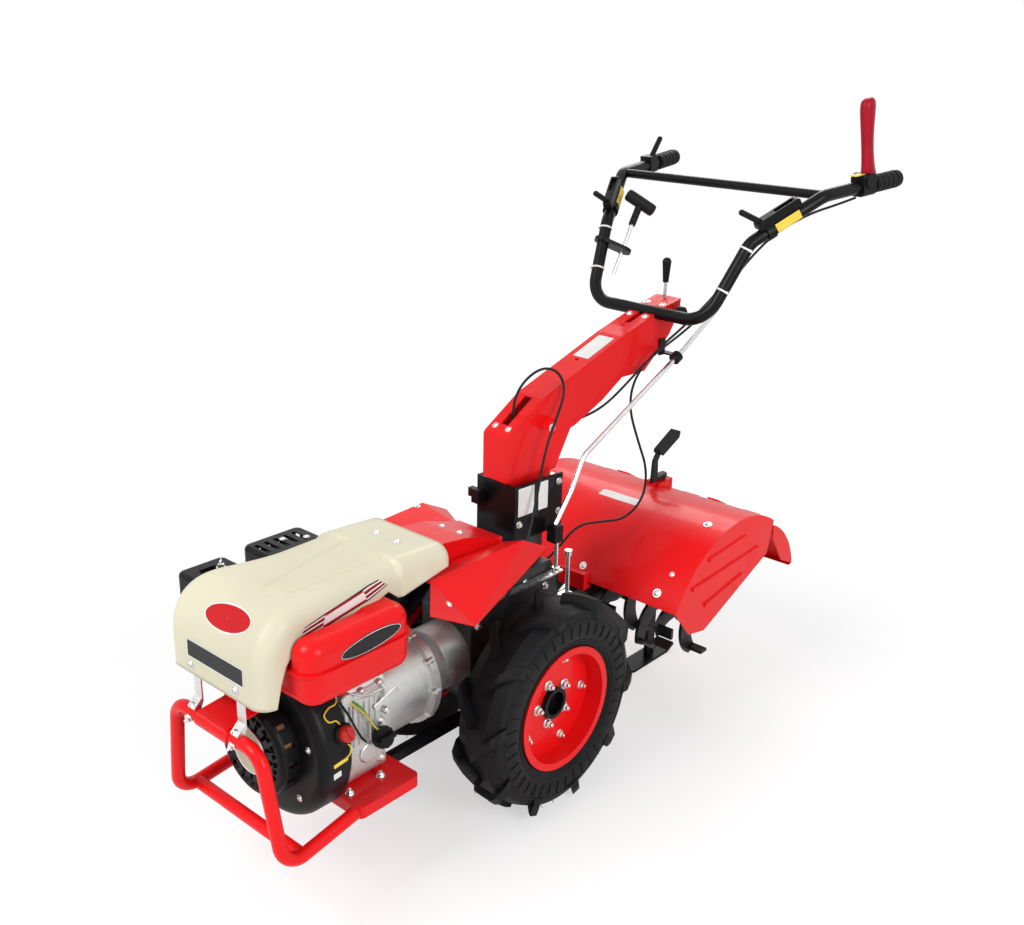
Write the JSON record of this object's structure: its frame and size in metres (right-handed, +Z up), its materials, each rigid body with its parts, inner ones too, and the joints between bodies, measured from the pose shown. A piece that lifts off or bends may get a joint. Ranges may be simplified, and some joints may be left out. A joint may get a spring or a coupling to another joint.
{
  "type": "power tiller",
  "caption": "Walking two-wheel tractor with a petrol engine in front, long swinging handlebars and a hooded rotary tiller behind.",
  "frame": {"origin": "on the ground under the middle of the wheel axle", "axes": "+X forward towards the engine, +Y towards the left wheel, +Z up"},
  "size_m": [1.7963, 0.7165, 1.4985],
  "materials": {
    "red paint": "gloss",
    "cream paint": "gloss",
    "black paint": "satin",
    "black plastic": "satin",
    "cast aluminium": "satin",
    "gearbox casting": "matte",
    "zinc plate": "satin",
    "chrome rod": "polished",
    "tyre rubber": "satin",
    "grip rubber": "matte",
    "cable sheath": "satin",
    "dark red plastic": "gloss",
    "recoil red": "satin",
    "yellow tag": "satin",
    "cream disc": "satin",
    "tine steel": "satin"
  },
  "bodies": {
    "chassis": {"front_bumper": "red paint", "engine_plate": "red paint", "frame_rails": "black paint", "hood_struts": "zinc plate", "crankcase": "cast aluminium", "oil_filler_cap": "black plastic", "fan_shroud": "black plastic", "recoil_starter": "recoil red", "recoil_disc": "cream disc", "fuel_tank": "red paint", "air_cleaner": "black plastic", "muffler": "black paint", "exhaust_pipe": "zinc plate", "bell_housing": "cast aluminium", "gearbox": "gearbox casting", "hood": "cream paint", "mid_cover": "red paint", "fender_left": "red paint", "fender_right": "red paint", "tiller_hood": "red paint", "tiller_side_left": "red paint", "tiller_side_right": "red paint", "tiller_drive": "gearbox casting", "flap_hinge_rod": "zinc plate", "depth_skid": "black paint", "depth_lever": "black paint", "selector_links": "zinc plate", "engine_cable": "cable sheath", "gearbox_cable": "cable sheath"},
    "wheel_left": {"wheel_left_tyre": "tyre rubber", "wheel_left_rim": "red paint", "wheel_left_hub": "black paint"},
    "wheel_right": {"wheel_right_tyre": "tyre rubber", "wheel_right_rim": "red paint", "wheel_right_hub": "black paint"},
    "rotor": {"tine_rotor": "tine steel"},
    "flap": {"rear_flap": "red paint"},
    "handlebars": {"handlebar": "black paint", "grips": "grip rubber", "handlebar_column": "red paint", "turntable_bracket": "black paint", "turntable_lock_lever": "black paint", "clutch_lever": "dark red plastic", "clutch_lever_housing": "black plastic", "arm_levers": "black plastic", "right_grip_lever": "black plastic", "lever_tags": "yellow tag", "pull_handle": "black plastic", "pull_handle_rod": "chrome rod", "gear_lever": "chrome rod", "selector_rod": "chrome rod", "selector_brackets": "black plastic", "control_knobs": "black plastic", "arm_cable": "cable sheath"}
  },
  "joints": [
    {"name": "wheel_left_spin", "type": "hinge", "parent": "chassis", "child": "wheel_left", "pos_m": [0, 0.197, 0.25], "axis": [0, 1, 0], "continuous": true},
    {"name": "wheel_right_spin", "type": "hinge", "parent": "chassis", "child": "wheel_right", "pos_m": [0, -0.197, 0.25], "axis": [0, 1, 0], "continuous": true},
    {"name": "rotor_spin", "type": "hinge", "parent": "chassis", "child": "rotor", "pos_m": [-0.485, 0, 0.325], "axis": [0, 1, 0], "continuous": true},
    {"name": "rear_flap_hinge", "type": "hinge", "parent": "chassis", "child": "flap", "pos_m": [-0.784, 0, 0.464], "axis": [0, 1, 0], "range_deg": [0, 75]},
    {"name": "handlebar_swing", "type": "hinge", "parent": "chassis", "child": "handlebars", "pos_m": [-0.12, 0, 0.57], "axis": [0, 0, 1], "range_deg": [-11.6, 18.4], "deforming": ["engine_cable", "gearbox_cable"]}
  ]
}
